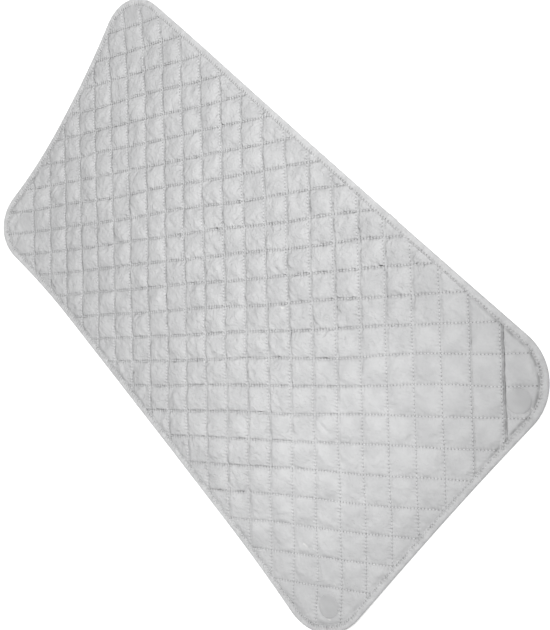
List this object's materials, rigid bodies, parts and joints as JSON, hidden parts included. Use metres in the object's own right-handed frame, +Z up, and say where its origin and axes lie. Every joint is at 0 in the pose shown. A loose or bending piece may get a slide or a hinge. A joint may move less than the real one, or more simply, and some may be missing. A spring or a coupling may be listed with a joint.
{
  "type": "ironing pad",
  "caption": "Thin quilted ironing pad with a silver-grey coated face, diamond quilting, a bound edge with round corners and a hidden disc magnet in each corner.",
  "frame": {"origin": "on the resting plane, under the middle of the pad", "axes": "+X along the pad's length, +Y across it, +Z up, out of the ironing face"},
  "size_m": [0.8448, 0.4554, 0.0213],
  "materials": {
    "face_cloth": "silver-grey coated woven cloth, satin sheen",
    "batting": "white needled polyester wadding",
    "backing_cloth": "plain light grey woven cloth, matt",
    "binding_tape": "light grey woven tape, matt",
    "magnet": "dark grey sintered disc, matt",
    "quilting_thread": "grey spun polyester thread",
    "binding_thread": "grey spun polyester thread"
  },
  "bodies": {
    "root": {"face_cloth": "face_cloth", "batting": "batting", "backing_cloth": "backing_cloth", "edge_binding": "binding_tape", "magnet_right_back": "magnet", "magnet_right_front": "magnet", "magnet_left_back": "magnet", "magnet_left_front": "magnet", "rising_thread_01": "quilting_thread", "rising_thread_02": "quilting_thread", "rising_thread_03": "quilting_thread", "rising_thread_04": "quilting_thread", "rising_thread_05": "quilting_thread", "rising_thread_06": "quilting_thread", "rising_thread_07": "quilting_thread", "rising_thread_08": "quilting_thread", "rising_thread_09": "quilting_thread", "rising_thread_10": "quilting_thread", "rising_thread_11": "quilting_thread", "rising_thread_12": "quilting_thread", "rising_thread_13": "quilting_thread", "rising_thread_14": "quilting_thread", "rising_thread_15": "quilting_thread", "rising_thread_16": "quilting_thread", "rising_thread_17": "quilting_thread", "rising_thread_18": "quilting_thread", "rising_thread_19": "quilting_thread", "rising_thread_20": "quilting_thread", "rising_thread_21": "quilting_thread", "rising_thread_22": "quilting_thread", "rising_thread_23": "quilting_thread", "falling_thread_01": "quilting_thread", "falling_thread_02": "quilting_thread", "falling_thread_03": "quilting_thread", "falling_thread_04": "quilting_thread", "falling_thread_05": "quilting_thread", "falling_thread_06": "quilting_thread", "falling_thread_07": "quilting_thread", "falling_thread_08": "quilting_thread", "falling_thread_09": "quilting_thread", "falling_thread_10": "quilting_thread", "falling_thread_11": "quilting_thread", "falling_thread_12": "quilting_thread", "falling_thread_13": "quilting_thread", "falling_thread_14": "quilting_thread", "falling_thread_15": "quilting_thread", "falling_thread_16": "quilting_thread", "falling_thread_17": "quilting_thread", "falling_thread_18": "quilting_thread", "falling_thread_19": "quilting_thread", "falling_thread_20": "quilting_thread", "falling_thread_21": "quilting_thread", "falling_thread_22": "quilting_thread", "falling_thread_23": "quilting_thread", "binding_needle_thread": "binding_thread", "binding_bobbin_thread": "binding_thread"}
  },
  "joints": []
}
